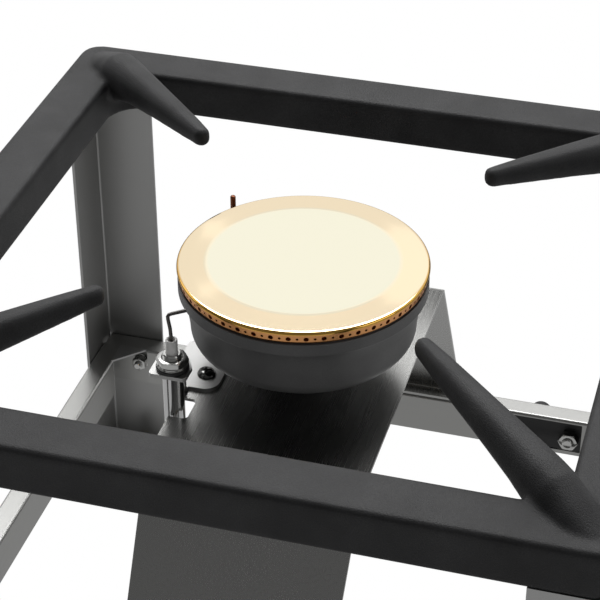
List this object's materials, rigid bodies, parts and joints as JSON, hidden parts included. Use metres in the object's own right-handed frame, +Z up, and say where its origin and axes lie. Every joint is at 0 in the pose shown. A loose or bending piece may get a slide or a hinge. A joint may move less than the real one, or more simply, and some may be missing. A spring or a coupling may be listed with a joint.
{
  "type": "stock pot range",
  "caption": "Low free-standing gas range for a stock pot: angle legs, folded rails, a bent bridge with a ported ring burner, and a lift-off cast grate with corner fingers",
  "frame": {"origin": "on the floor, at the middle of the four legs, under the burner's axis", "axes": "+Z up, +Y to the back where the gas inlet is, -Y to the front where the knob is, +X to the right seen from the front"},
  "size_m": [0.448, 0.496, 0.4],
  "materials": {
    "stainless": "satin-brushed stainless sheet",
    "bridge_steel": "brushed stainless sheet, reflecting dark",
    "grate_iron": "matt black cast iron with fine grain",
    "burner_iron": "dark grey fine cast iron",
    "cap_brass": "mirror-polished brass",
    "port_brass": "machined copper-toned brass",
    "plated": "bright zinc or nickel plate",
    "ceramic": "white glazed ceramic",
    "wire_steel": "heat-darkened wire",
    "sensor_copper": "heat-tarnished copper",
    "black_plate": "black finish",
    "black_rubber": "black rubber",
    "black_plastic": "matt black phenolic plastic",
    "lead_black": "black insulated lead",
    "brass": "plain machined brass",
    "copper_pipe": "plated copper pipe"
  },
  "bodies": {
    "stand": {"leg_front_left": "stainless", "leg_front_right": "stainless", "leg_back_left": "stainless", "leg_back_right": "stainless", "rail_front": "stainless", "rail_back": "stainless", "rail_left": "stainless", "rail_right": "stainless", "corner_gussets": "stainless", "frame_bolts": "plated", "frame_nuts": "plated", "burner_bridge": "bridge_steel", "bridge_screws": "plated", "bridge_nuts": "plated", "burner_bowl": "burner_iron", "electrode_wire": "wire_steel", "electrode_insulator": "ceramic", "electrode_collar": "plated", "electrode_nut": "plated", "electrode_tube": "plated", "fibre_washer": "black_plastic", "electrode_bracket": "stainless", "bracket_screw": "plated", "thermocouple": "sensor_copper", "thermocouple_lead": "lead_black", "stop_plates": "black_plate", "stop_nuts": "plated", "stop_bolts": "plated", "wall_stops": "black_rubber", "thermocouple_bracket": "stainless", "thermocouple_nut": "brass", "burner_lock_nut": "burner_iron", "injector": "brass", "injector_holder": "brass", "injector_bracket": "stainless", "gas_valve": "brass", "inlet_pipe": "copper_pipe", "inlet_fitting": "brass", "inlet_lock_nut": "brass", "burner_pipe": "copper_pipe", "pipe_nuts": "brass", "control_panel": "stainless", "panel_screws": "plated", "igniter_body": "black_plastic", "igniter_nut": "black_plastic", "ignition_lead": "lead_black", "foot_lock_nuts": "plated"},
    "grate": {"grate": "grate_iron"},
    "burner_top": {"burner_cap": "cap_brass", "port_ring": "port_brass"},
    "shutter": {"air_shutter": "plated"},
    "push_collar": {"spring_collar": "plated"},
    "knob": {"control_knob": "black_plastic", "valve_spindle": "brass"},
    "button": {"igniter_button": "black_plastic"},
    "foot_front_left": {"foot_front_left": "plated"},
    "foot_front_right": {"foot_front_right": "plated"},
    "foot_back_left": {"foot_back_left": "plated"},
    "foot_back_right": {"foot_back_right": "plated"}
  },
  "joints": [
    {"name": "grate_lift", "type": "slide", "parent": "stand", "child": "grate", "axis": [0, 0, 1], "range_m": [0, 0.08]},
    {"name": "cap_lift", "type": "slide", "parent": "stand", "child": "burner_top", "axis": [0, 0, 1], "range_m": [0, 0.04]},
    {"name": "knob_push", "type": "slide", "parent": "stand", "child": "push_collar", "axis": [0, 1, 0], "range_m": [0, 0.003], "stiffness_N_per_m": 2000, "springref_m": -0.004},
    {"name": "knob_turn", "type": "hinge", "parent": "push_collar", "child": "knob", "pos_m": [-0.04, -0.23, 0.074], "axis": [0, -1, 0], "range_deg": [0, 210]},
    {"name": "igniter_press", "type": "slide", "parent": "stand", "child": "button", "axis": [0, 1, 0], "range_m": [0, 0.005], "stiffness_N_per_m": 1500, "springref_m": -0.004},
    {"name": "shutter_slide", "type": "slide", "parent": "stand", "child": "shutter", "axis": [0, 0, -1], "range_m": [0, 0.008]},
    {"name": "foot_front_left_screw", "type": "slide", "parent": "stand", "child": "foot_front_left", "axis": [0, 0, -1], "range_m": [0, 0.015]},
    {"name": "foot_front_right_screw", "type": "slide", "parent": "stand", "child": "foot_front_right", "axis": [0, 0, -1], "range_m": [0, 0.015]},
    {"name": "foot_back_left_screw", "type": "slide", "parent": "stand", "child": "foot_back_left", "axis": [0, 0, -1], "range_m": [0, 0.015]},
    {"name": "foot_back_right_screw", "type": "slide", "parent": "stand", "child": "foot_back_right", "axis": [0, 0, -1], "range_m": [0, 0.015]}
  ]
}
